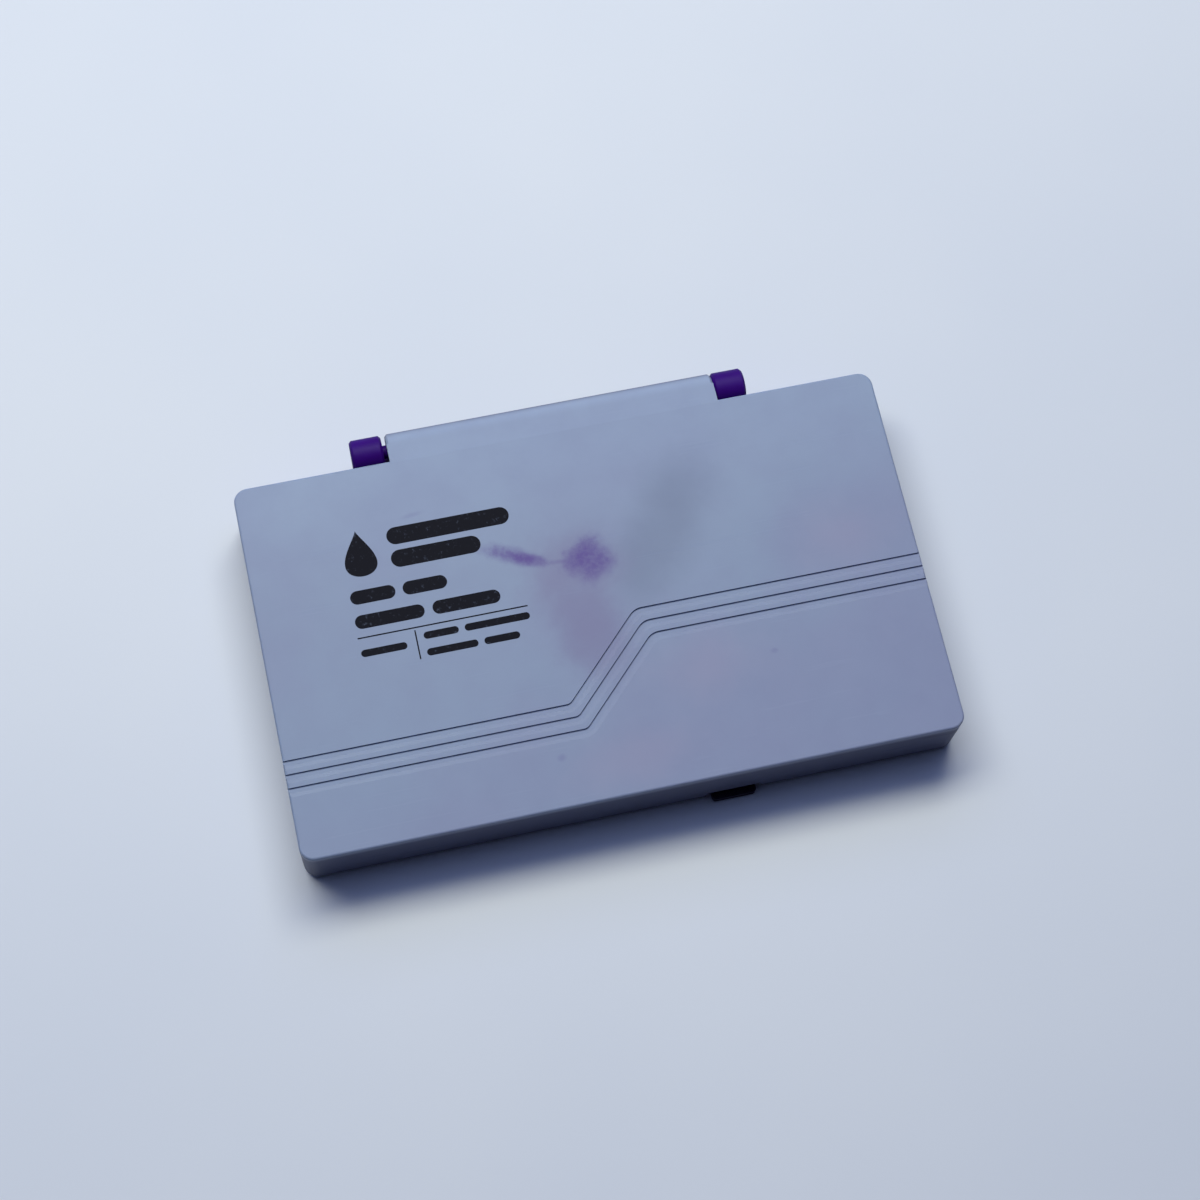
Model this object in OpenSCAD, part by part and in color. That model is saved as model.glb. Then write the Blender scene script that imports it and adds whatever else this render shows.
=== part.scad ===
// Hinged stamp pad: a flat case with a tray of inked cloth under a grooved lid.
// Millimetres. X runs along the case, Y from front to back, Z up.
// The origin is on the table, under the middle of the base.

/* [Case] */
// Height of the closed case
case_h = 11.8; // [11:0.1:14]

/* [Lid] */
// Lid length
lid_w = 98; // [90:0.5:130]
// Lid depth, front to back
lid_d = 57.4; // [50:0.2:80]
// Height of the skirt's lower edge above the table
skirt_z = 1.3; // [0.8:0.1:2]
// Wall thickness of the skirt
lid_wall = 1.3; // [1:0.1:1.6]
// Thickness of the top plate
lid_t = 1.5; // [1.2:0.1:1.6]
// Corner radius seen from above
lid_r = 2.1; // [2:0.1:5]
// Rounding along the top edge
lid_edge = 0.35; // [0.2:0.05:0.8]
// Sideways play in the hinge that the lid has taken up
lid_shift = 0.3; // [0:0.05:0.3]

/* [Lid grooves] */
// Number of parallel grooves
groove_n = 3; // [1:1:4]
// Spacing of the grooves
groove_pitch = 2.05; // [1.8:0.05:3]
// Width of one groove, slot and shelf together
groove_w = 1.35; // [1:0.05:1.5]
// Width of a groove's slot
groove_slot = 0.5; // [0.2:0.05:0.6]
// Depth of the slot
groove_depth = 0.3; // [0.2:0.05:0.6]
// Depth of the shelf beside the slot
groove_shelf = 0.05; // [0.02:0.01:0.1]
// Y of the rear groove on the left half
groove_left_y = -13.6; // [-18:0.1:-8]
// Y of the rear groove on the right half
groove_right_y = -1.3; // [-5:0.1:4]
// X where the rear groove leaves the left half
groove_bend_x = -6.9; // [-15:0.1:0]
// Radius of the tighter side of a bend
groove_bend_r = 1.3; // [1:0.1:3]

/* [Hinge] */
// Outside radius of the barrel and the knuckles
knuckle_r = 2.6; // [2.4:0.05:2.7]
// Distance of the hinge axis behind the lid's back edge
hinge_back = 2.7; // [2.7:0.05:3]
// Height of the hinge axis
hinge_z = 9.0; // [8.8:0.1:9.2]
// Length of the lid's barrel
barrel_w = 50.4; // [30:0.2:70]
// Length of each knuckle on the base
knuckle_w = 4.8; // [3:0.1:8]
// Radius of the pins on the knuckles
pin_r = 1.0; // [0.9:0.05:1.3]
// Radial clearance between a pin and its bore
pin_fit = 0.05; // [0.03:0.01:0.1]

/* [Base] */
// Base length
base_w = 94.4; // [86:0.2:126]
// Wall thickness of the base
base_wall = 1.2; // [1:0.1:1.5]
// Height of the front and side walls
base_h = 8.4; // [7:0.1:8.6]
// Height of the back wall
back_h = 8.9; // [8.5:0.1:8.9]
// Middle of the thumb tab along X
tab_x = 15.2; // [-30:0.1:30]
// Width of the thumb tab
tab_w = 6.6; // [5:0.1:12]

/* [Pad] */
// Gap between the base's wall and the tray
tray_gap = 0.4; // [0.3:0.05:0.6]
// Wall of the tray
tray_wall = 0.7; // [0.5:0.05:1]
// Height of the pad's top above the table
pad_top = 9.0; // [8.5:0.1:9.2]
// Thickness of the cloth
cloth_t = 0.4; // [0.3:0.05:0.6]
// Thickness of the felt
felt_t = 2.8; // [2:0.1:3.5]

/* [Hidden] */
$fn = 64;
eps = 0.1;

// Lid
lid_in_w = lid_w - 2 * lid_wall;
lid_in_d = lid_d - 2 * lid_wall;
lid_back = lid_d / 2;
plate_z = case_h - lid_t;
lip_z = hinge_z + 0.2;
rib_w = 0.8;
rib_gap = 0.1;
notch_w = tab_w + 1.8;
notch_h = 1.5;
bead_r = 0.2;
bead_w = 36;
bead_z = 5.2;

// Hinge
hinge_y = lid_back + hinge_back;
knuckle_x = barrel_w / 2 + lid_shift + 0.05;
bar_edge = 0.35;
pin_w = 3.6;
bore_depth = 4.2;
boss_w = bore_depth + 1.0;
gusset_w = 1.4;
gusset_gap = 0.3;
gusset_past = 0.5;
pocket_n = 4;
pocket_rib = 1.2;
pocket_r = knuckle_r - 1.15;

// Base
base_floor = 1.2;
base_front = -(lid_in_d / 2 - 0.4);
base_back = lid_back - 0.2;
base_d = base_back - base_front;
base_mid = (base_back + base_front) / 2;
base_r = 1.2;
base_edge = 0.4;
well_w = base_w - 2 * base_wall;
well_d = -2 * base_front - 2 * base_wall - 0.2;
core_slots = 5;
core_slot_w = 1.0;
tab_out = 0.8;
tab_z = 0.3;
tab_t = 1.2;
label_w = 56;
label_d = 17;
label_y = 14;
label_t = 0.15;

// Pad
tray_w = well_w - 2 * tray_gap;
tray_d = well_d - 2 * tray_gap;
tray_floor = 0.8;
tray_h = 7.2;
tray_r = 1.6;
cloth_w = tray_w - 2 * tray_wall - 0.2;
cloth_d = tray_d - 2 * tray_wall - 0.2;
cloth_z = base_floor + tray_floor;
cloth_r = 2.0;
cloth_edge = 1.2;
core_w = cloth_w - 2 * cloth_t;
core_d = cloth_d - 2 * cloth_t;
core_z = cloth_z + cloth_t;
core_r = cloth_r - cloth_t;
hem = 8;
liner_w = lid_w - 8;
liner_d = lid_d - 8;
liner_t = 0.25;

// Plain rounded rectangle
module plan(w, d, r) {
    square([w - 2 * r, d], center = true);
    square([w, d - 2 * r], center = true);
    for (x = [-1, 1], y = [-1, 1])
        translate([x * (w / 2 - r), y * (d / 2 - r)]) circle(r = r);
}

// Slab with rounded corners
module slab(w, d, h, r) {
    linear_extrude(h) plan(w, d, r);
}

// Half section of a wall whose top edge is rounded, measured outward from the corner's centre
module edge_section(r, h, e) {
    square([r, h - e]);
    square([r - e, h]);
    translate([r - e, h - e]) intersection() {
        circle(r = e);
        square(e);
    }
}

// Slab with rounded corners and a rounded top edge
module crowned(w, d, h, r, e) {
    for (x = [-1, 1], y = [-1, 1])
        translate([x * (w / 2 - r), y * (d / 2 - r), 0]) rotate_extrude() edge_section(r, h, e);
    for (x = [0, 1])
        mirror([x, 0, 0]) translate([w / 2 - r, d / 2 - r, 0])
            rotate([90, 0, 0]) linear_extrude(d - 2 * r) edge_section(r, h, e);
    for (y = [0, 1])
        mirror([0, y, 0]) translate([r - w / 2, d / 2 - r, 0])
            rotate([90, 0, 90]) linear_extrude(w - 2 * r) edge_section(r, h, e);
    translate([r - w / 2, r - d / 2, 0]) cube([w - 2 * r, d - 2 * r, h]);
}

// Section of a groove: a narrow slot, then a shallow shelf that ramps out through the top face
function groove_section() =
    let (lift = 0.02)
    [
        [0, lift],
        [0.01, -groove_depth],
        [groove_slot - 0.01, -groove_depth],
        [groove_slot, -groove_shelf],
        [groove_w * 0.6, -groove_shelf],
        [groove_w * (1 + 0.4 * lift / groove_shelf), lift]
    ];

// Direction across a groove, toward the front, where the groove heads along angle a
function across(a) = [sin(a), -cos(a)];

// Places along groove k as [rear edge point, heading]: left stretch, two bends of 45 degrees, right stretch
function groove_path(k) =
    let (
        half = tan(22.5),
        rise = groove_right_y - groove_left_y,
        outer = groove_bend_r + groove_w,
        x0 = groove_bend_x + k * groove_pitch * half,
        y0 = groove_left_y - k * groove_pitch,
        centre1 = [x0 - groove_bend_r * half, y0 + groove_bend_r],
        centre2 = [x0 + rise + outer * half, y0 + rise - outer],
        end = lid_w / 2 + 1
    )
    concat(
        [[[-end, y0], 0]],
        [for (a = [0 : 5 : 45]) [centre1 + groove_bend_r * across(a), a]],
        [for (a = [45 : -5 : 0]) [centre2 - outer * across(a), a]],
        [[[end, y0 + rise], 0]]
    );

// Solid cut out of the lid's top for groove k; it runs off both ends of the lid
module groove(k) {
    path = groove_path(k);
    section = groove_section();
    m = len(section);
    points = [
        for (place = path, q = section)
            [place[0][0] + q[0] * across(place[1])[0], place[0][1] + q[0] * across(place[1])[1], q[1]]
    ];
    sides = [
        for (i = [0 : len(path) - 2], j = [0 : m - 1], half = [0, 1])
            let (here = i * m + j, next = i * m + (j + 1) % m)
            half == 0 ? [here, next + m, here + m] : [here, next, next + m]
    ];
    last = (len(path) - 1) * m;
    fan = [for (j = [1 : m - 2]) [0, j + 1, j]];
    ends = concat(fan, [for (t = fan) [last + t[0], last + t[2], last + t[1]]]);
    polyhedron(points, concat(sides, ends), convexity = 4);
}

// Sealing rib that meets the top of the base's walls
module seal_rib() {
    out_w = base_w - base_wall + rib_w;
    out_d = well_d + base_wall + rib_w;
    difference() {
        translate([0, 0, base_h + rib_gap]) difference() {
            slab(out_w, out_d, plate_z - base_h, base_r);
            translate([0, 0, -eps])
                slab(out_w - 2 * rib_w, out_d - 2 * rib_w, plate_z - base_h + 2 * eps, base_r - rib_w / 2);
        }
        translate([-lid_w / 2, well_d / 2 - 0.5, 0]) cube([lid_w, 6, back_h + rib_gap]);
    }
}

// Top plate with its skirt, which is cut back to a short lip behind the base
module lid_shell() {
    difference() {
        translate([0, 0, skirt_z]) crowned(lid_w, lid_d, case_h - skirt_z, lid_r, lid_edge);
        translate([0, 0, skirt_z - eps])
            slab(lid_in_w, lid_in_d, plate_z - skirt_z + eps, lid_r - lid_wall);
        translate([-lid_in_w / 2, lid_in_d / 2 - lid_r + lid_wall, 0])
            cube([lid_in_w, lid_r + 1, lip_z]);
    }
}

// Round bar along X with chamfered ends
module bar(r, w) {
    rotate([0, 90, 0]) rotate_extrude()
        polygon([[0, 0], [r - bar_edge, 0], [r, bar_edge], [r, w - bar_edge], [r - bar_edge, w], [0, w]]);
}

// Section of the web that joins the top plate to the barrel, tangent to the barrel's top
module web_section() {
    start = lid_back - lid_edge;
    run = hinge_y - start;
    fall = case_h - hinge_z;
    reach = sqrt(run * run + fall * fall);
    slope = asin(knuckle_r / reach) - atan(fall / run);
    tangent = sqrt(reach * reach - knuckle_r * knuckle_r);
    polygon([
        [lid_back - lid_wall, plate_z],
        [lid_back - lid_wall, case_h],
        [start, case_h],
        [start + tangent * cos(slope), case_h + tangent * sin(slope)],
        [hinge_y, plate_z]
    ]);
}

// Hollows under the barrel, between its solid ends
module barrel_pockets() {
    span = barrel_w - 2 * boss_w;
    step = (span + pocket_rib) / pocket_n;
    for (i = [0 : pocket_n - 1])
        translate([-span / 2 + i * step, hinge_y, hinge_z]) {
            rotate([0, 90, 0]) cylinder(r = pocket_r, h = step - pocket_rib);
            translate([0, -pocket_r, -knuckle_r - eps])
                cube([step - pocket_rib, 2 * pocket_r, knuckle_r + eps]);
        }
}

// Barrel with its web, pockets and the two bores for the pins
module lid_barrel() {
    difference() {
        union() {
            translate([-barrel_w / 2, 0, 0]) rotate([90, 0, 90]) linear_extrude(barrel_w) web_section();
            translate([-barrel_w / 2, hinge_y, hinge_z]) bar(knuckle_r, barrel_w);
        }
        barrel_pockets();
        for (x = [0, 1])
            mirror([x, 0, 0]) translate([barrel_w / 2 - bore_depth, hinge_y, hinge_z])
                rotate([0, 90, 0]) cylinder(r = pin_r + pin_fit, h = bore_depth + eps);
    }
}

// Opening in the front skirt over the thumb tab
module thumb_notch() {
    r = 0.7;
    translate([tab_x - lid_shift, -lid_back + lid_wall + 0.5, skirt_z]) rotate([90, 0, 0])
        linear_extrude(lid_wall + 1) {
            translate([-notch_w / 2, -1]) square([notch_w, notch_h + 1 - r]);
            translate([r - notch_w / 2, 0]) square([notch_w - 2 * r, notch_h]);
            for (x = [-1, 1]) translate([x * (notch_w / 2 - r), notch_h - r]) circle(r = r);
        }
}

module lid() {
    color([0.53, 0.61, 0.72]) translate([lid_shift, 0, 0]) {
        difference() {
            union() {
                lid_shell();
                seal_rib();
                translate([-bead_w / 2, -lid_in_d / 2, bead_z - 1]) rotate([0, 90, 0])
                    cylinder(r = bead_r - 0.05, h = bead_w);
                lid_barrel();
            }
            translate([0, 0, case_h]) for (k = [0 : groove_n - 1]) groove(k);
            thumb_notch();
        }
    }
}

// Film or paper that lines the inside of the lid
module lid_liner() {
    color([0.9, 0.9, 0.88]) translate([lid_shift, 0, plate_z - liner_t]) slab(liner_w, liner_d, liner_t, 2);
}

// Side view of the arm that carries a knuckle
module arm_section() {
    foot = [base_back - 0.3, 2.4];
    away = [hinge_y - foot[0], hinge_z - foot[1]];
    reach = norm(away);
    slope = atan(away[1] / away[0]) - asin(knuckle_r / reach);
    tangent = sqrt(reach * reach - knuckle_r * knuckle_r);
    polygon([
        foot,
        foot + tangent * [cos(slope), sin(slope)],
        [hinge_y, hinge_z],
        [foot[0], back_h - 0.1]
    ]);
}

// Side view of the gusset beside an arm, which clears the barrel as it turns
module gusset_section() {
    difference() {
        arm_section();
        translate([hinge_y, hinge_z]) circle(r = knuckle_r + gusset_gap);
        translate([hinge_y + gusset_past, 0]) square([knuckle_r, hinge_z]);
    }
}

// Knuckle on the right with its pin pointing inward
module knuckle() {
    translate([knuckle_x, 0, 0]) rotate([90, 0, 90]) linear_extrude(knuckle_w) arm_section();
    translate([knuckle_x, hinge_y, hinge_z]) bar(knuckle_r, knuckle_w);
    translate([knuckle_x - gusset_w, 0, 0]) rotate([90, 0, 90]) linear_extrude(gusset_w + 0.5) gusset_section();
    translate([knuckle_x - pin_w, hinge_y, hinge_z]) rotate([0, 90, 0])
        cylinder(r = pin_r, h = pin_w + 1);
}

// Thumb tab at the foot of the front wall
module thumb_tab() {
    r = 0.5;
    out = lid_back + tab_out;
    translate([tab_x, 0, tab_z]) linear_extrude(tab_t) {
        translate([-tab_w / 2, r - out]) square([tab_w, out - r + base_front + 0.5]);
        translate([r - tab_w / 2, -out]) square([tab_w - 2 * r, r + eps]);
        for (x = [-1, 1]) translate([x * (tab_w / 2 - r), r - out]) circle(r = r);
    }
}

// Slots that core the thick back wall from below
module back_slots() {
    rib = 2;
    step = (well_w + rib) / core_slots;
    for (i = [0 : core_slots - 1])
        translate([i * step - well_w / 2, (well_d / 2 + base_back - core_slot_w) / 2, -eps])
            cube([step - rib, core_slot_w, back_h - 1.2 + eps]);
}

// Slim ribs inside the well that centre the tray
module well_ribs() {
    for (x = [-30, 0, 30], y = [-1, 1])
        translate([x, y * well_d / 2, base_floor - eps]) cylinder(r = tray_gap - 0.05, h = 5);
    for (x = [-1, 1], y = [-14, 14])
        translate([x * well_w / 2, y, base_floor - eps]) cylinder(r = tray_gap - 0.05, h = 5);
}

module base_case() {
    color([0.22, 0.11, 0.44]) difference() {
        union() {
            difference() {
                translate([0, base_mid, back_h]) mirror([0, 0, 1])
                    crowned(base_w, base_d, back_h, base_r, base_edge);
                translate([0, 0, base_floor]) slab(well_w, well_d, back_h, base_r - 0.4);
                translate([-base_w / 2 - 1, base_front - 1, base_h])
                    cube([base_w + 2, well_d / 2 - base_front + 1, 2]);
            }
            well_ribs();
            thumb_tab();
            translate([-bead_w / 2, base_front, bead_z]) rotate([0, 90, 0]) cylinder(r = bead_r, h = bead_w);
            for (x = [0, 1]) mirror([x, 0, 0]) knuckle();
        }
        back_slots();
        translate([0, label_y, -eps]) slab(label_w + 1, label_d + 1, label_t + 0.05 + eps, 1.5);
    }
}

// Shallow pan that carries the pad
module insert_tray() {
    color([0.15, 0.07, 0.3]) translate([0, 0, base_floor]) difference() {
        slab(tray_w, tray_d, tray_h - base_floor, tray_r);
        translate([0, 0, tray_floor])
            slab(tray_w - 2 * tray_wall, tray_d - 2 * tray_wall, tray_h, tray_r - tray_wall);
    }
}

// Felt that holds the ink
module felt_core() {
    color([0.24, 0.1, 0.42]) translate([0, 0, core_z]) slab(core_w, core_d, felt_t, core_r);
}

// Foam that gives the pad its spring
module foam_layer() {
    color([0.3, 0.16, 0.5]) translate([0, 0, core_z + felt_t])
        crowned(core_w, core_d, pad_top - cloth_t - core_z - felt_t, core_r, cloth_edge - cloth_t);
}

// Cloth over the pad, down its sides and turned under its edge
module ink_cloth() {
    color([0.2, 0.07, 0.36]) difference() {
        translate([0, 0, cloth_z]) crowned(cloth_w, cloth_d, pad_top - cloth_z, cloth_r, cloth_edge);
        translate([0, 0, core_z])
            crowned(core_w, core_d, pad_top - cloth_t - core_z, core_r, cloth_edge - cloth_t);
        translate([0, 0, cloth_z - eps]) slab(core_w - 2 * hem, core_d - 2 * hem, cloth_t + 2 * eps, 1);
    }
}

// Blank sticker in the shallow recess under the base
module base_label() {
    color([0.92, 0.92, 0.9]) translate([0, label_y, 0.05]) slab(label_w, label_d, label_t, 1);
}

base_case();
insert_tray();
felt_core();
foam_layer();
ink_cloth();
base_label();
lid();
lid_liner();
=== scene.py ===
"""Visual model of a stamp pad: grey grooved lid, purple case and an ink-soaked cloth pad inside.

Metres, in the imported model's frame: X along the case, Y towards the hinge, Z up from the table.
"""

import math

import bmesh
import bpy
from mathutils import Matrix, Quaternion, Vector, noise

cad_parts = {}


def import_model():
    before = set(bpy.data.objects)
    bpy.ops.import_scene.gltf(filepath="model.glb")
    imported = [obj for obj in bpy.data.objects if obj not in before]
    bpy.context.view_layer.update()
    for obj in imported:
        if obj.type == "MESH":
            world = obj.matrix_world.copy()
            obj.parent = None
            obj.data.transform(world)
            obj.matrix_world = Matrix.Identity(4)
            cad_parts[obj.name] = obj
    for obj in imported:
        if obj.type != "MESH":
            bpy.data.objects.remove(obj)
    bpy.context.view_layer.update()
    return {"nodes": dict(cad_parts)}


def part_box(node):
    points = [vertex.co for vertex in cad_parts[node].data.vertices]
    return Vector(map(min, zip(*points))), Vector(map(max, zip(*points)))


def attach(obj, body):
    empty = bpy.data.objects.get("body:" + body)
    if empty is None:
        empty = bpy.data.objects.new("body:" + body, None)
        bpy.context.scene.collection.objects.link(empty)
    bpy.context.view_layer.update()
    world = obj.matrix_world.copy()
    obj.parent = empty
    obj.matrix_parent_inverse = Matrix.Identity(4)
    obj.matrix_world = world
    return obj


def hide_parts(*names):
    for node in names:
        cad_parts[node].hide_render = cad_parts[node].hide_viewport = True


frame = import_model()

MM = 0.001
LID_LOW, LID_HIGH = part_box("lid")
LID_TOP = LID_HIGH[2]
LID_FRONT = LID_LOW[1]
LID_X = (LID_LOW[0] + LID_HIGH[0]) / 2
LID_HALF = (LID_HIGH[0] - LID_X, -LID_FRONT)
LID_CORNER = 2.1 * MM
TAB_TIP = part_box("base_case")[0][1]


def on_lid(x, y):
    """A place on the lid's top, from its centre in millimetres, as X and Y in the frame."""
    return (LID_X + x * MM, y * MM)


# ---------------------------------------------------------------- shader helpers


class Nodes:
    """Short calls for building one material's node tree."""

    def __init__(self, name):
        self.material = bpy.data.materials.new(name)
        self.material.use_nodes = True
        self.tree = self.material.node_tree
        self.shader = next(n for n in self.tree.nodes if n.type == "BSDF_PRINCIPLED")
        coordinates = self.tree.nodes.new("ShaderNodeTexCoord")
        self.place = coordinates.outputs["Object"]
        self.facing = coordinates.outputs["Normal"]

    def add(self, kind, **options):
        node = self.tree.nodes.new(kind)
        for key, value in options.items():
            setattr(node, key, value)
        return node

    def put(self, socket, value):
        """Links an output to a socket, or sets the socket's own value."""
        if isinstance(value, bpy.types.NodeSocket):
            self.tree.links.new(value, socket)
        else:
            socket.default_value = value

    def math(self, operation, a, b=0.0, c=0.0, clamp=False):
        node = self.add("ShaderNodeMath", operation=operation, use_clamp=clamp)
        for socket, value in zip(node.inputs, (a, b, c)):
            self.put(socket, value)
        return node.outputs[0]

    def times(self, *values):
        """The product of several values."""
        result = values[0]
        for value in values[1:]:
            result = self.math("MULTIPLY", result, value)
        return result

    def vector(self, operation, a, b=(0.0, 0.0, 0.0)):
        node = self.add("ShaderNodeVectorMath", operation=operation)
        self.put(node.inputs[0], a)
        self.put(node.inputs[1], b)
        return node.outputs["Value"] if operation in ("LENGTH", "DOT_PRODUCT") else node.outputs[0]

    def noise(self, scale, detail=3.0, rough=0.5, place=None, size=(1.0, 1.0, 1.0)):
        """Noise from 0 to 1. Scale counts its lumps along a metre, and size squeezes them on each axis."""
        node = self.add("ShaderNodeTexNoise")
        where = self.vector("MULTIPLY", self.place if place is None else place, size)
        self.put(node.inputs["Vector"], where)
        node.inputs["Scale"].default_value = scale
        node.inputs["Detail"].default_value = detail
        node.inputs["Roughness"].default_value = rough
        return node.outputs[0]

    def span(self, value, low, high, to_low=0.0, to_high=1.0, smooth=True):
        """The value's range low to high, mapped onto another range and held there."""
        node = self.add("ShaderNodeMapRange", interpolation_type="SMOOTHSTEP" if smooth else "LINEAR")
        self.put(node.inputs["Value"], value)
        node.inputs["From Min"].default_value = low
        node.inputs["From Max"].default_value = high
        node.inputs["To Min"].default_value = to_low
        node.inputs["To Max"].default_value = to_high
        return node.outputs[0]

    def mix(self, share, a, b):
        """Colour a to colour b, as share goes from 0 to 1."""
        node = self.add("ShaderNodeMix", data_type="RGBA")
        self.put(node.inputs["Factor"], share)
        for socket, value in ((node.inputs[6], a), (node.inputs[7], b)):
            self.put(socket, value if isinstance(value, bpy.types.NodeSocket) else (*value, 1.0))
        return node.outputs[2]

    def axes(self, place=None):
        node = self.add("ShaderNodeSeparateXYZ")
        self.put(node.inputs[0], self.place if place is None else place)
        return node.outputs

    def blot(self, centre, radii, angle=0.0, ragged=0.5, scale=700.0, edge=0.55, level=LID_TOP):
        """A soft ragged spot on a level face, 1 at its heart and 0 outside. Sizes are in metres."""
        turn = self.add("ShaderNodeMapping", vector_type="TEXTURE")
        self.put(turn.inputs["Vector"], self.place)
        turn.inputs["Location"].default_value = (*centre, level)
        turn.inputs["Rotation"].default_value = (0, 0, math.radians(angle))
        turn.inputs["Scale"].default_value = (*radii, 1.0)
        far = self.vector("LENGTH", turn.outputs[0])
        rough = self.times(self.math("SUBTRACT", self.noise(scale, 4.0, 0.6), 0.5), ragged)
        return self.span(self.math("ADD", far, rough), edge, 1.0, 1.0, 0.0)

    def bump(self, height, distance, strength=1.0, below=None):
        node = self.add("ShaderNodeBump")
        self.put(node.inputs["Height"], height)
        node.inputs["Distance"].default_value = distance
        node.inputs["Strength"].default_value = strength
        if below is not None:
            self.put(node.inputs["Normal"], below)
        return node.outputs[0]

    def finish(self, colour, roughness, normal=None, **sockets):
        """Wires the shader; the other sockets are constants, by name with _ for a space."""
        self.put(self.shader.inputs["Base Color"], colour)
        self.put(self.shader.inputs["Roughness"], roughness)
        if normal is not None:
            self.put(self.shader.inputs["Normal"], normal)
        for name, value in sockets.items():
            self.shader.inputs[name.replace("_", " ")].default_value = value
        return self.material


# ---------------------------------------------------------------- materials


def lid_plastic():
    """Satin blue-grey moulding, dulled by handling, with purple ink smears on its top, and painted light and
    shade in its colour.
    """
    n = Nodes("lid_plastic")
    x, y, z = n.axes()
    clouds = n.noise(28.0, 3.0, 0.55)
    mottle = n.noise(160.0, 3.0, 0.6)
    cool, warm = (0.219, 0.284, 0.417), (0.230, 0.268, 0.409)
    grey = n.mix(n.span(clouds, 0.35, 0.68), cool, warm)
    grey = n.mix(n.span(y, -0.018, -0.032, 0.0, 0.45), grey, warm)
    # painted light: the top is painted paler towards the back, and the barrel's far side carries a painted
    # highlight
    grey = n.mix(n.span(y, 0.006, 0.03, 0.0, 0.6), grey, (0.268, 0.350, 0.498))
    grey = n.mix(n.span(y, 0.0310, 0.0335, 0.0, 0.9), grey, (0.34, 0.415, 0.56))
    grey = n.mix(n.span(mottle, 0.3, 0.75, 0.0, 0.14), grey, (0.17, 0.195, 0.33))
    # painted shade: the outer sides are darkened below the top edge, standing in for the shadow they fall
    # into
    past = []
    for place, half in zip((n.math("SUBTRACT", x, LID_X), y), LID_HALF):
        beyond = n.math("SUBTRACT", n.math("ABSOLUTE", place), half - LID_CORNER)
        past.append(n.math("MAXIMUM", beyond))
    from_core = n.math("SQRT", n.math("ADD", n.times(past[0], past[0]), n.times(past[1], past[1])))
    outer = n.span(from_core, LID_CORNER - 0.7 * MM, LID_CORNER - 0.3 * MM)
    painted_side_shade = n.times(n.span(z, LID_TOP - 0.0002, LID_TOP - 0.0019, 0.0, 0.9), outer)
    grey = n.mix(painted_side_shade, grey, (0.050, 0.057, 0.126))
    top = n.span(z, LID_TOP - 0.0007, LID_TOP - 0.0001)
    # faint rosy blooms of ink, then a darker patch of painted shade right of the stain, then an ink wash in
    # the middle: colour, depth, raggedness and scale of each, and its patches
    washes = (
        ((0.268, 0.272, 0.405), 0.5, 1.2, 80.0, (
            (on_lid(1, -23.5), (0.015, 0.007), 8),
            (on_lid(39, 4), (0.011, 0.009), 0),
            (on_lid(14, -12), (0.014, 0.008), 10),
        )),
        # painted shade: a darker patch right of the stain
        ((0.160, 0.205, 0.318), 0.62, 0.8, 90.0, (
            (on_lid(11.5, 8.8), (0.0105, 0.0085), 25),
            (on_lid(7.5, 3.5), (0.007, 0.008), -20),
            (on_lid(15, 15), (0.011, 0.008), 30),
        )),
        ((0.175, 0.178, 0.318), 0.65, 1.3, 110.0, (
            (on_lid(-2.5, 0.5), (0.011, 0.010), -30),
            (on_lid(-1, -5), (0.008, 0.011), 25),
            (on_lid(-1.5, 8.5), (0.012, 0.007), 0),
        )),
    )
    for colour, depth, ragged, scale, patches in washes:
        for centre, radii, angle in patches:
            patch = n.blot(centre, radii, angle, ragged, scale, 0.0)
            grey = n.mix(n.times(patch, top, depth), grey, colour)
    # ink: a smear, a thumb-sized blob and specks, each with centre, radii, angle, raggedness, scale,
    # the share of it that is solid, and depth
    purple = (0.070, 0.033, 0.238)
    grain = n.span(n.noise(1100.0, 3.0, 0.6), 0.32, 0.62, 0.72, 1.0)
    smears = (
        (on_lid(-10.4, 10.4), (0.0072, 0.0019), -24, 0.9, 420.0, 0.05, 0.80),
        (on_lid(-8.4, 9.3), (0.0042, 0.0013), -20, 0.7, 600.0, 0.15, 0.75),
        (on_lid(-3.6, 8.0), (0.0030, 0.0006), -6, 0.5, 600.0, 0.0, 0.35),
        (on_lid(0.7, 7.4), (0.0050, 0.0044), 40, 1.0, 260.0, 0.25, 0.80),
        (on_lid(-1.1, 8.0), (0.0036, 0.0026), 20, 1.1, 520.0, 0.1, 0.50),
        (on_lid(-23.7, 19.6), (0.0026, 0.0006), 6, 0.6, 500.0, 0.0, 0.18),
        (on_lid(24.1, -11.8), (0.0009, 0.0006), 0, 0.4, 900.0, 0.1, 0.22),
        (on_lid(-9.8, -21.3), (0.0010, 0.0008), 0, 0.4, 900.0, 0.1, 0.22),
    )
    for centre, radii, angle, ragged, scale, edge, depth in smears:
        spot = n.blot(centre, radii, angle, ragged, scale, edge)
        grey = n.mix(n.times(spot, grain, top, depth), grey, purple)
    # fine scuffs, each a long thin lump of noise
    scuffs = n.span(n.noise(900.0, 2.0, 0.5, size=(0.08, 1.3, 1.0)), 0.66, 0.72)
    grey = n.mix(n.times(scuffs, top, 0.05), grey, (0.42, 0.48, 0.6))
    rough = n.math("ADD", n.span(clouds, 0.3, 0.7, 0.42, 0.52), n.times(scuffs, 0.08))
    grain_bump = n.bump(n.noise(5200.0, 2.0, 0.6), 0.000012, 0.5)
    wave = n.bump(n.noise(36.0, 1.0, 0.4), 0.0006, 0.35, below=grain_bump)
    return n.finish(grey, rough, wave, Specular_IOR_Level=0.26)


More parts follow.
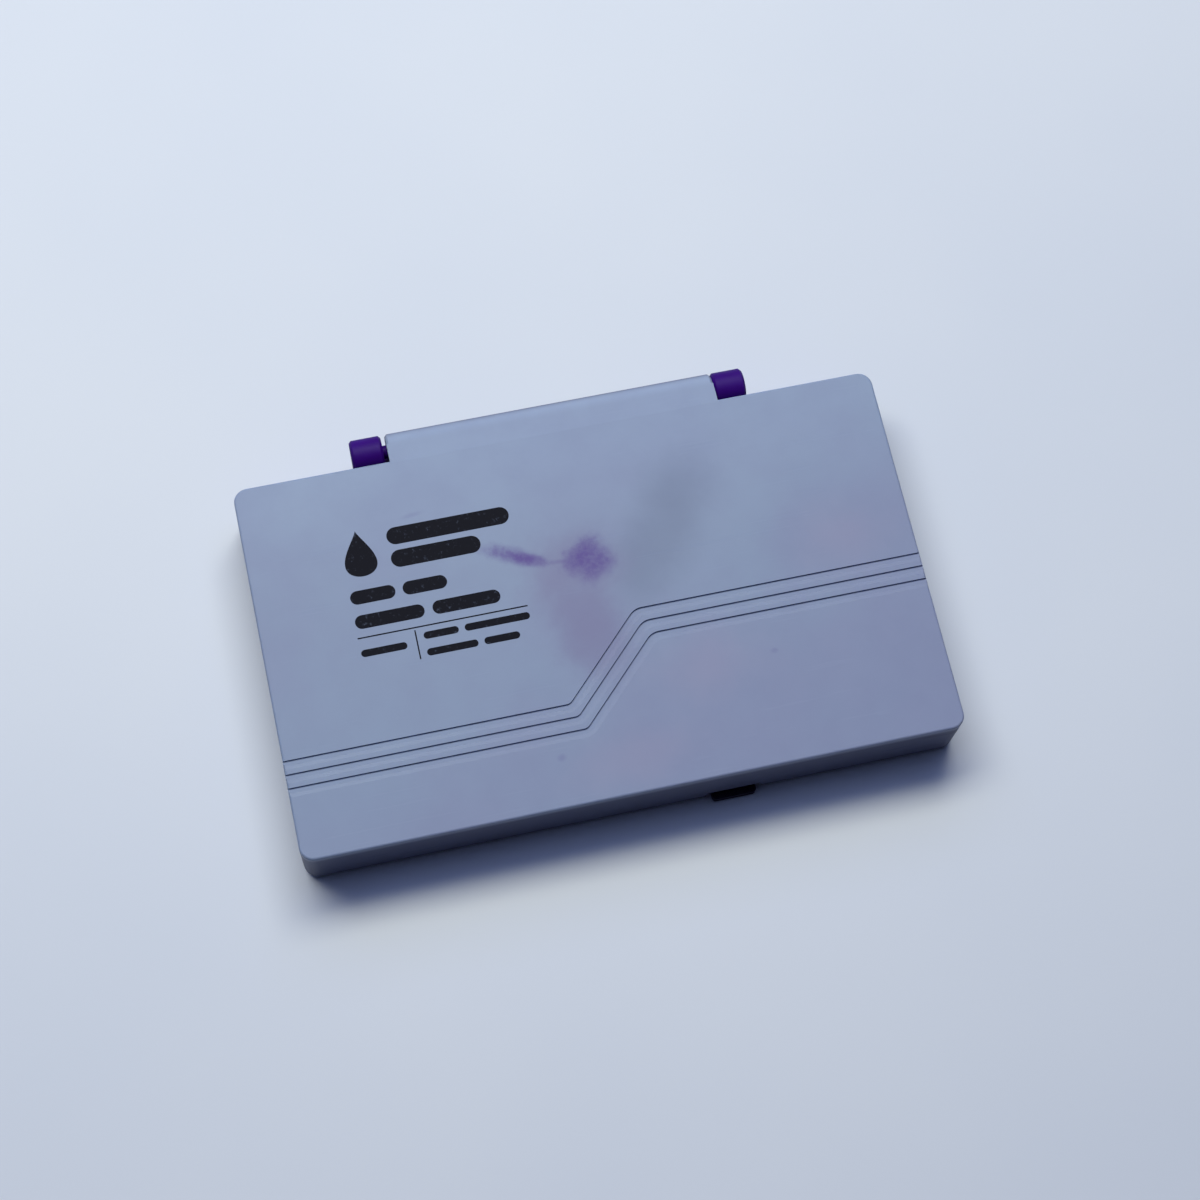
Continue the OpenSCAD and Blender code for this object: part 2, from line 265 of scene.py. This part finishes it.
def case_plastic(name, colour, rough):
    """Purple moulding with a fine grain, lighter where handling has worn it."""
    n = Nodes(name)
    clouds = n.noise(70.0, 3.0, 0.6)
    dark = tuple(0.78 * c for c in colour)
    shade = n.mix(n.span(clouds, 0.3, 0.7), dark, colour)
    worn = n.span(n.noise(420.0, 4.0, 0.65), 0.62, 0.78, 0.0, 0.35)
    shade = n.mix(worn, shade, tuple(min(1.0, 1.5 * c + 0.01) for c in colour))
    # the tip of the thumb tab is darkened to near-black
    y = n.axes()[1]
    tip = n.span(y, TAB_TIP + 1.9 * MM, TAB_TIP + 1.1 * MM, 0.0, 0.9)
    shade = n.mix(tip, shade, (0.003, 0.0032, 0.006))
    grain = n.bump(n.noise(4800.0, 2.0, 0.6), 0.000012, 0.6)
    gloss = n.span(clouds, 0.3, 0.7, rough - 0.05, rough + 0.07)
    return n.finish(shade, gloss, grain, Specular_IOR_Level=0.12)


def print_ink():
    """Near-black pad print, rubbed thin in places."""
    n = Nodes("print_ink")
    rub = n.span(n.noise(1500.0, 4.0, 0.7), 0.58, 0.74)
    shade = n.mix(n.times(rub, 0.35), (0.004, 0.0045, 0.010), (0.14, 0.17, 0.25))
    return n.finish(shade, 0.6, n.bump(n.noise(4200.0, 2.0), 0.00001, 0.4), Specular_IOR_Level=0.08)


def paper():
    """Blank matt sticker, a little soiled."""
    n = Nodes("label_paper")
    soil = n.noise(120.0, 4.0, 0.6)
    shade = n.mix(n.span(soil, 0.35, 0.8), (0.78, 0.78, 0.76), (0.62, 0.6, 0.66))
    fibre = n.noise(3500.0, 3.0, 0.7, size=(1.0, 0.4, 1.0))
    return n.finish(shade, 0.8, n.bump(fibre, 0.00002, 0.5), Specular_IOR_Level=0.2)


def film():
    """Milky film with faint purple vapour stains, dried droplets and shallow wrinkles."""
    n = Nodes("liner_film")
    haze = n.noise(42.0, 5.0, 0.62)
    shade = n.mix(n.span(haze, 0.45, 0.8, 0.0, 0.6), (0.56, 0.57, 0.60), (0.33, 0.26, 0.52))
    cells = n.add("ShaderNodeTexVoronoi", feature="F1")
    n.put(cells.inputs["Vector"], n.vector("ADD", n.place, n.times(n.noise(700.0), 0.0006)))
    cells.inputs["Scale"].default_value = 95.0
    rare = n.span(n.noise(140.0, 2.0), 0.55, 0.62)
    specks = n.times(n.span(cells.outputs["Distance"], 0.10, 0.055), rare, 0.8)
    shade = n.mix(specks, shade, (0.10, 0.03, 0.27))
    wrinkle = n.bump(n.noise(110.0, 2.0, 0.5, size=(0.6, 1.4, 1.0)), 0.0004, 0.4)
    return n.finish(shade, n.span(haze, 0.3, 0.7, 0.22, 0.4), wrinkle, Specular_IOR_Level=0.5)


def woven_cloth():
    """Plain-woven cotton soaked in purple ink: over-and-under threads, painted shade in the gaps between
    them, and damp patches.
    """
    n = Nodes("ink_cloth")
    x, y, z = n.axes()
    side_x, side_y = (n.math("GREATER_THAN", n.math("ABSOLUTE", way), 0.7) for way in n.axes(n.facing)[:2])

    def choose(share, a, b):
        """Value a where share is 0, and b where it is 1."""
        return n.math("ADD", n.times(a, n.math("SUBTRACT", 1.0, share)), n.times(b, share))

    pitch, stray = 0.52 * MM, 0.22 * MM
    wander = n.times(n.math("SUBTRACT", n.noise(420.0, 3.0, 0.6), 0.5), stray)
    u = n.math("DIVIDE", n.math("ADD", choose(side_x, x, z), wander), pitch)
    v = n.math("DIVIDE", n.math("SUBTRACT", choose(side_y, y, z), wander), pitch)
    round_u = n.math("SINE", n.times(n.math("FRACT", u), math.pi))
    round_v = n.math("SINE", n.times(n.math("FRACT", v), math.pi))
    cell = n.math("ADD", n.math("FLOOR", u), n.math("FLOOR", v))
    over = n.math("FLOORED_MODULO", cell, 2.0)
    warp = n.times(round_u, n.math("MULTIPLY_ADD", round_v, 0.45, 0.55))
    weft = n.times(round_v, n.math("MULTIPLY_ADD", round_u, 0.45, 0.55))
    weave = choose(over, warp, weft)
    fibres = n.noise(6500.0, 3.0, 0.7)
    height = n.math("ADD", weave, n.times(fibres, 0.5))

    damp = n.span(n.noise(55.0, 4.0, 0.6), 0.36, 0.62)
    blotch = n.span(n.noise(230.0, 4.0, 0.65), 0.45, 0.68)
    thread = n.mix(damp, (0.080, 0.018, 0.205), (0.040, 0.007, 0.118))
    thread = n.mix(n.times(blotch, 0.5), thread, (0.030, 0.006, 0.085))
    # each thread takes the ink a little differently
    streak_u = n.noise(1900.0, 1.0, 0.5, size=(1.0, 0.02, 1.0))
    streak_v = n.noise(1900.0, 1.0, 0.5, size=(0.02, 1.0, 1.0))
    streak = n.span(choose(over, streak_u, streak_v), 0.35, 0.7, 0.0, 0.35)
    thread = n.mix(streak, thread, (0.12, 0.04, 0.27))
    # painted shade: the threads darken to near-black at their edges and in the gaps between them
    shade = n.mix(n.span(weave, 0.05, 0.6), (0.012, 0.003, 0.035), thread)
    rough = n.math("SUBTRACT", n.span(damp, 0.0, 1.0, 0.78, 0.5), n.times(fibres, 0.08))
    normal = n.bump(height, 0.00013, 0.9)
    return n.finish(shade, rough, normal, Specular_IOR_Level=0.35, Sheen_Weight=0.12, Sheen_Roughness=0.5,
                    Sheen_Tint=(0.35, 0.25, 0.7, 1.0))


def felted(name, colour, scale):
    """Ink-soaked fibre or foam: lumps of fibre with pores between them, darkened with painted shade."""
    n = Nodes(name)
    pores = n.add("ShaderNodeTexVoronoi", feature="F1")
    n.put(pores.inputs["Vector"], n.place)
    pores.inputs["Scale"].default_value = scale
    depth = n.span(pores.outputs["Distance"], 0.05, 0.6)
    hairs = n.noise(scale * 3.0, 4.0, 0.7, size=(1.0, 0.35, 1.0))
    # painted shade: darker in the pores
    shade = n.mix(depth, tuple(0.35 * c for c in colour), colour)
    shade = n.mix(n.span(hairs, 0.5, 0.75, 0.0, 0.4), shade, tuple(1.6 * c for c in colour))
    lumps = n.bump(n.math("ADD", depth, n.times(hairs, 0.6)), 0.0002, 0.8)
    return n.finish(shade, n.span(hairs, 0.3, 0.7, 0.75, 0.95), lumps, Specular_IOR_Level=0.2)


def paint(node, material):
    """Gives a CAD node its material."""
    slots = frame["nodes"][node].material_slots
    for slot in slots:
        slot.material = material
    if not slots:
        frame["nodes"][node].data.materials.append(material)


paint("lid", lid_plastic())
paint("base_case", case_plastic("case_plastic", (0.036, 0.0015, 0.178), 0.52))
paint("insert_tray", case_plastic("tray_plastic", (0.03, 0.004, 0.12), 0.52))
paint("base_label", paper())
paint("lid_liner", film())


# ---------------------------------------------------------------- piece helpers


def piece(name, mesh, body, material):
    """Links a mesh as a piece that rides on a body."""
    mesh.materials.clear()
    mesh.materials.append(material)
    made = bpy.data.objects.new(name, mesh)
    bpy.context.scene.collection.objects.link(made)
    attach(made, body)
    return made


def applied(shape, name):
    """The shape's mesh with its modifiers applied; the shape itself is removed."""
    scene_now = bpy.context.evaluated_depsgraph_get()
    mesh = bpy.data.meshes.new_from_object(shape.evaluated_get(scene_now))
    mesh.name = name
    bpy.data.objects.remove(shape)
    return mesh


# ---------------------------------------------------------------- print on the lid


def pill(x0, x1, y, height, corner=None):
    """Outline of a bar with rounded ends, in millimetres from the lid's centre."""
    r = height / 2 if corner is None else corner
    steps = 8
    outline = []
    for cx, cy, start in ((x1 - r, y + height / 2 - r, 0), (x0 + r, y + height / 2 - r, 90),
                          (x0 + r, y - height / 2 + r, 180), (x1 - r, y - height / 2 + r, 270)):
        for i in range(steps + 1):
            a = math.radians(start + 90 * i / steps)
            outline.append((cx + r * math.cos(a), cy + r * math.sin(a)))
    return outline


def drop(cx, cy, width, height):
    """Outline of an ink drop with its tip up."""
    steps = 56
    fullness, taper = 0.62, 1.6
    outline = []
    for i in range(steps):
        a = 2 * math.pi * i / steps
        flare = math.sin(a / 2) ** taper
        outline.append((cx - width * fullness * math.sin(a) * flare, cy + height / 2 * math.cos(a)))
    return outline


def lid_print():
    """Plain generic marks in near-black ink: a drop, bars and two thin rules. No lettering."""
    marks = [
        drop(-32.4, 15.2, 5.6, 7.2),
        pill(-28.0, -9.6, 16.9, 2.7),
        pill(-28.0, -14.6, 13.3, 2.7),
        pill(-35.0, -28.3, 8.5, 2.1),
        pill(-27.2, -20.6, 8.5, 2.1),
        pill(-35.0, -24.7, 4.7, 2.1),
        pill(-23.5, -13.4, 4.7, 2.1),
        pill(-35.1, -9.8, 2.3, 0.2, 0.09),
        pill(-35.0, -28.2, -0.1, 1.1),
        pill(-25.6, -20.4, 0.8, 1.1),
        pill(-19.5, -9.8, 0.8, 1.1),
        pill(-25.6, -18.0, -1.8, 1.1),
        pill(-17.1, -11.8, -1.8, 1.1),
    ]
    divider = [(-26.8, 1.9), (-26.8, -2.6), (-26.6, -2.6), (-26.6, 1.9)]
    marks.append(divider)
    sunk, proud = 0.01 * MM, 0.02 * MM
    low, high = LID_TOP - sunk, LID_TOP + proud
    shape = bmesh.new()
    for outline in marks:
        places = [on_lid(x, y) for x, y in outline]
        foot = [shape.verts.new((x, y, low)) for x, y in places]
        head = [shape.verts.new((x, y, high)) for x, y in places]
        shape.faces.new(head)
        shape.faces.new(foot[::-1])
        for i in range(len(places)):
            j = (i + 1) % len(places)
            shape.faces.new((foot[i], foot[j], head[j], head[i]))
    bmesh.ops.recalc_face_normals(shape, faces=shape.faces)
    mesh = bpy.data.meshes.new("lid_print")
    shape.to_mesh(mesh)
    shape.free()
    piece("lid_print", mesh, "lid_body", print_ink())


lid_print()


# ---------------------------------------------------------------- the pad

CLOTH_LOW, CLOTH_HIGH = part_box("ink_cloth")
CLOTH_T = 0.35 * MM
HEM = 8 * MM
GRID_STEP = 0.95 * MM
CORNER_LINES = 6


def graded(half, fine, fine_n, step):
    """Grid lines from -half to half, closer together within fine of each end."""
    coarse_n = max(1, round(2 * (half - fine) / step))
    edge = [fine * i / fine_n for i in range(fine_n)]
    middle = [fine + 2 * (half - fine) * i / coarse_n for i in range(coarse_n + 1)]
    return [d - half for d in edge + middle] + [half - d for d in reversed(edge)]


def rounded(x, y, half, r):
    """A grid place moved so that the grid's outline gets corners of radius r."""
    a, b = (abs(x) - half[0] + r) / r, (abs(y) - half[1] + r) / r
    if a <= 0 or b <= 0:
        return x, y
    return (
        math.copysign(half[0] - r + r * a * math.sqrt(1 - b * b / 2), x),
        math.copysign(half[1] - r + r * b * math.sqrt(1 - a * a / 2), y),
    )


def crowned(top, rise, half):
    """Height of a face that rises in the middle and stays nearly level to its rim."""
    return lambda x, y: top + rise * (1 - (x / half[0]) ** 4) * (1 - (y / half[1]) ** 4)


class Soft:
    """A soft form in the making: a gridded cap with a rounded outline, and loops that hang from its rim."""

    def __init__(self, half, r, height):
        self.shape = bmesh.new()
        self.straight = (half[0] - r, half[1] - r)
        self.rim = self.cap(half, r, height)
        self.above = [vert for vert, way in self.rim]

    def cap(self, half, r, height):
        """Adds a grid over a rounded rectangle; returns its rim as (vertex, outward direction) in order."""
        xs, ys = (graded(h, r, CORNER_LINES, GRID_STEP) for h in half)
        grid = []
        for y in ys:
            places = [rounded(x, y, half, r) for x in xs]
            grid.append([self.shape.verts.new((*p, height(*p))) for p in places])
        for low, high in zip(grid, grid[1:]):
            for i in range(len(xs) - 1):
                self.shape.faces.new((low[i], low[i + 1], high[i + 1], high[i]))
        rim = grid[0][:-1] + [row[-1] for row in grid[:-1]]
        rim += grid[-1][:0:-1] + [row[0] for row in grid[:0:-1]]
        out = []
        for vert in rim:
            over = [max(abs(c) - h + r, 0.0) for c, h in zip(vert.co, half)]
            way = Vector((math.copysign(over[0], vert.co.x), math.copysign(over[1], vert.co.y)))
            out.append((vert, way.normalized()))
        return out

    def loop(self, half, inset, r, z, wave=None):
        """Hangs the next loop: a rounded rectangle of half-size half less inset, with corner radius r."""
        loop = []
        for vert, way in self.rim:
            place = []
            for axis in (0, 1):
                held = max(-self.straight[axis], min(self.straight[axis], vert.co[axis]))
                reach = (half[axis] - inset - r) / self.straight[axis]
                place.append(held * reach)
            out = r - (wave(way) if wave else 0.0)
            loop.append(self.shape.verts.new((place[0] + way.x * out, place[1] + way.y * out, z)))
        self.join(loop)

    def join(self, loop):
        """Adds the band of faces between the last loop and this one."""
        for i in range(len(loop)):
            j = (i + 1) % len(loop)
            self.shape.faces.new((self.above[i], loop[i], loop[j], self.above[j]))
        self.above = loop

    def done(self, name):
        """The form as a smooth-shaded object."""
        bmesh.ops.recalc_face_normals(self.shape, faces=self.shape.faces)
        mesh = bpy.data.meshes.new(name)
        self.shape.to_mesh(mesh)
        self.shape.free()
        for face in mesh.polygons:
            face.use_smooth = True
        made = bpy.data.objects.new(name, mesh)
        bpy.context.scene.collection.objects.link(made)
        return made


def swell(made, free, limit):
    """Lets a cloth simulation press the free vertices outward, and keeps each move within the limit."""
    frames = 20
    mesh = made.data
    rest = [v.co.copy() for v in mesh.vertices]
    held = made.vertex_groups.new(name="held")
    held.add([v.index for v in mesh.vertices if v.index not in free], 1.0, "REPLACE")
    cloth = made.modifiers.new("cloth", "CLOTH")
    cloth.settings.quality = 6
    cloth.settings.vertex_group_mass = held.name
    cloth.settings.tension_stiffness = 15
    cloth.settings.compression_stiffness = 15
    cloth.settings.bending_stiffness = 0.02
    cloth.settings.shrink_min = -0.012
    cloth.settings.use_pressure = True
    cloth.settings.uniform_pressure_force = 4
    cloth.settings.effector_weights.gravity = 0
    for step in range(1, frames + 1):
        bpy.context.scene.frame_set(step)
    eased = made.evaluated_get(bpy.context.evaluated_depsgraph_get()).to_mesh()
    moves = [eased.vertices[i].co - rest[i] for i in range(len(rest))]
    most = max(m.length for m in moves)
    made.modifiers.remove(cloth)
    made.vertex_groups.remove(held)
    bpy.context.scene.frame_set(1)
    share = min(1.0, limit / most)
    for vert, place, move in zip(mesh.vertices, rest, moves):
        vert.co = place + move * share
    print(made.name, "swelled by", round(most / MM, 3), "mm, of which it keeps", round(most * share / MM, 3))


def pad_cloth():
    """Cloth stretched over the pad, rounded over its edge, down its sides and turned under to a hem."""
    half = (CLOTH_HIGH[0], CLOTH_HIGH[1])
    edge, corner, turn_under, hem_corner = 1.2 * MM, 2.0 * MM, 0.3 * MM, 0.5 * MM
    crown, most_swell = 0.15 * MM, 0.35 * MM
    folds, fold_at_edge, fold_gain = 12, 0.1 * MM, 0.15 * MM
    top, foot = CLOTH_HIGH[2], CLOTH_LOW[2]
    inner = (half[0] - edge, half[1] - edge)

    def pleats(depth):
        """Folds where the cloth is gathered round a corner."""

        def wave(way):
            turn = min(abs(way.x), abs(way.y)) * math.sqrt(2)
            return depth * turn * (0.5 - 0.5 * math.cos(folds * math.atan2(way.y, way.x)))

        return wave

    soft = Soft(inner, corner - edge, crowned(top, crown, inner))
    rim = {vert for vert, way in soft.rim}
    soft.shape.verts.index_update()
    free = {v.index for v in soft.shape.verts if v not in rim}
    turns = 4
    for i in range(1, turns + 1):
        a = math.radians(90 * i / turns)
        inset = edge * (1 - math.sin(a))
        level = top - edge * (1 - math.cos(a))
        soft.loop(half, inset, corner - inset, level, pleats(fold_at_edge * i / turns))
    start, end = top - edge, foot + turn_under
    quarters = (0.25, 0.5, 0.75, 1.0)
    for share in quarters:
        folded = pleats(fold_at_edge + fold_gain * share)
        soft.loop(half, 0.0, corner, start + (end - start) * share, folded)
    soft.loop(half, turn_under, corner - turn_under, foot)
    for share in quarters:
        soft.loop(half, HEM * share, hem_corner, foot)
    made = soft.done("pad_cloth_shape")
    swell(made, free, most_swell)
    finer = made.modifiers.new("finer", "SUBSURF")
    finer.levels = finer.render_levels = 1
    wall = made.modifiers.new("wall", "SOLIDIFY")
    wall.thickness, wall.offset = CLOTH_T, -1
    cloth = piece("pad_cloth", applied(made, "pad_cloth"), "base", woven_cloth())
    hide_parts("ink_cloth")


def soft_block(name, node, crown, tuck, rough, seed):
    """A cut block of foam or felt: crowned a little, its sides pulled in, and its faces uneven."""
    low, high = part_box(node)
    edge = 0.5 * MM
    corner, inset = 2.4 * MM, 0.12 * MM
    half = (high[0] - inset, high[1] - inset)
    inner = (half[0] - edge, half[1] - edge)
    soft = Soft(inner, corner - edge, crowned(high[2], crown, inner))
    for a in (30, 60, 90):
        out = edge * (1 - math.sin(math.radians(a)))
        soft.loop(half, out, corner - out, high[2] - edge * (1 - math.cos(math.radians(a))))
    walls = 6
    for i in range(1, walls):
        share = i / walls
        pull = tuck * math.sin(math.pi * share)
        soft.loop(half, pull, corner - pull, high[2] - edge + (low[2] + 2 * edge - high[2]) * share)
    for a in (0, 30, 60):
        out = edge * (1 - math.cos(math.radians(a)))
        soft.loop(half, out, corner - out, low[2] + edge * (1 - math.sin(math.radians(a))))
    soft.join([vert for vert, way in soft.cap(inner, corner - edge, lambda x, y: low[2])])
    made = soft.done(name + "_shape")
    offset = Vector((seed, 2.0 * seed, 3.0 * seed))
    lump = 2.2 * MM
    for vert, normal in [(v, v.normal.copy()) for v in made.data.vertices]:
        uneven = noise.fractal(vert.co / lump + offset, 0.6, 2.1, 4)
        vert.co -= normal * rough * abs(uneven)
    finer = made.modifiers.new("finer", "SUBSURF")
    finer.levels = finer.render_levels = 1
    return applied(made, name)


foam = piece("pad_foam", soft_block("pad_foam", "foam_layer", 0.12 * MM, 0.3 * MM, 0.05 * MM, 4.0),
             "base", felted("foam", (0.10, 0.03, 0.24), 1500.0))
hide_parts("foam_layer")
felt = piece("pad_felt", soft_block("pad_felt", "felt_core", 0.0, 0.1 * MM, 0.09 * MM, 9.0),
             "base", felted("felt", (0.07, 0.02, 0.18), 900.0))
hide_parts("felt_core")
pad_cloth()


# ---------------------------------------------------------------- stage, light and camera

FAR_COLOUR = (0.50, 0.55, 0.66)


def floor():
    """A plain pale table top. Far off it glows as a bright room does, and from below it is clear."""
    n = Nodes("table")
    shade = n.mix(n.span(n.noise(9.0, 3.0, 0.5), 0.3, 0.7), (0.65, 0.70, 0.77), (0.685, 0.73, 0.785))
    material = n.finish(shade, 0.55, n.bump(n.noise(60.0, 3.0), 0.0002, 0.2), Specular_IOR_Level=0.3,
                        Emission_Color=(*FAR_COLOUR, 1.0))
    glow_from, glow_full = 0.25, 0.9
    glow = n.span(n.vector("LENGTH", n.place), glow_from, glow_full)
    n.put(n.shader.inputs["Emission Strength"], glow)
    one_sided = n.add("ShaderNodeMixShader")
    n.put(one_sided.inputs[0], n.add("ShaderNodeNewGeometry").outputs["Backfacing"])
    n.put(one_sided.inputs[1], n.shader.outputs[0])
    n.put(one_sided.inputs[2], n.add("ShaderNodeBsdfTransparent").outputs[0])
    surface = next(m for m in n.tree.nodes if m.type == "OUTPUT_MATERIAL")
    n.put(surface.inputs["Surface"], one_sided.outputs[0])
    mesh = bpy.data.meshes.new("table")
    # a hair lower than the case's foot, so that the two faces don't share one plane
    reach, level = 3.0, -0.04 * MM
    corners = [(x * reach, y * reach, level) for x, y in ((-1, -1), (1, -1), (1, 1), (-1, 1))]
    mesh.from_pydata(corners, [], [(0, 1, 2, 3)])
    mesh.materials.append(material)
    table = bpy.data.objects.new("table", mesh)
    table.visible_shadow = False
    bpy.context.scene.collection.objects.link(table)


def soft_light(name, place, size, watts, colour):
    """A rectangular light aimed at the pad, which the camera itself doesn't see."""
    light = bpy.data.lights.new(name, "AREA")
    light.shape = "RECTANGLE"
    light.size, light.size_y = size
    light.energy = watts
    light.color = colour
    lamp = bpy.data.objects.new(name, light)
    lamp.location = place
    lamp.rotation_euler = (-Vector(place)).to_track_quat("-Z", "Y").to_euler()
    lamp.visible_camera = False
    bpy.context.scene.collection.objects.link(lamp)
    return lamp


def camera():
    """Looks down at the lid from in front and to the left, a little rolled."""
    data = bpy.data.cameras.new("camera")
    data.sensor_width = 36
    data.lens = 73.9
    data.clip_start = 0.01
    data.clip_end = 20
    eye = bpy.data.objects.new("camera", data)
    eye.location = (-0.0389, -0.1094, 0.3541)
    azimuth, elevation = math.radians(19.91), math.radians(71.07)
    aim = Vector((
        math.cos(elevation) * math.sin(azimuth),
        math.cos(elevation) * math.cos(azimuth),
        -math.sin(elevation),
    ))
    roll = Quaternion((0, 0, 1), math.radians(7.78))
    eye.rotation_euler = (aim.to_track_quat("-Z", "Y") @ roll).to_euler()
    bpy.context.scene.collection.objects.link(eye)
    bpy.context.scene.camera = eye


def world():
    """Dim bluish light from all round, seen beyond the table as the same pale room."""
    sky = bpy.data.worlds.new("studio")
    sky.use_nodes = True
    tree = sky.node_tree
    dim = next(n for n in tree.nodes if n.type == "BACKGROUND")
    dim.inputs["Color"].default_value = (0.5, 0.55, 1.0, 1.0)
    dim.inputs["Strength"].default_value = 0.012
    pale = tree.nodes.new("ShaderNodeBackground")
    pale.inputs["Color"].default_value = (*FAR_COLOUR, 1.0)
    seen = tree.nodes.new("ShaderNodeMixShader")
    tree.links.new(tree.nodes.new("ShaderNodeLightPath").outputs["Is Camera Ray"], seen.inputs[0])
    tree.links.new(dim.outputs[0], seen.inputs[1])
    tree.links.new(pale.outputs[0], seen.inputs[2])
    surface = next(n for n in tree.nodes if n.type == "OUTPUT_WORLD")
    tree.links.new(seen.outputs[0], surface.inputs["Surface"])
    bpy.context.scene.world = sky


floor()
soft_light("window", (-0.04, 0.27, 0.545), (0.60, 0.20), 3.13, (1.0, 0.967, 0.735))
soft_light("sky", (-0.04, 0.45, 0.90), (1.2, 1.2), 8.2, (0.41, 0.51, 0.94))
under = soft_light("under", (0.0, 0.0, -0.6), (0.12, 0.12), 0.45, (1.0, 1.0, 1.0))
under.visible_glossy = False
world()
camera()
bpy.context.scene.view_settings.view_transform = "Standard"
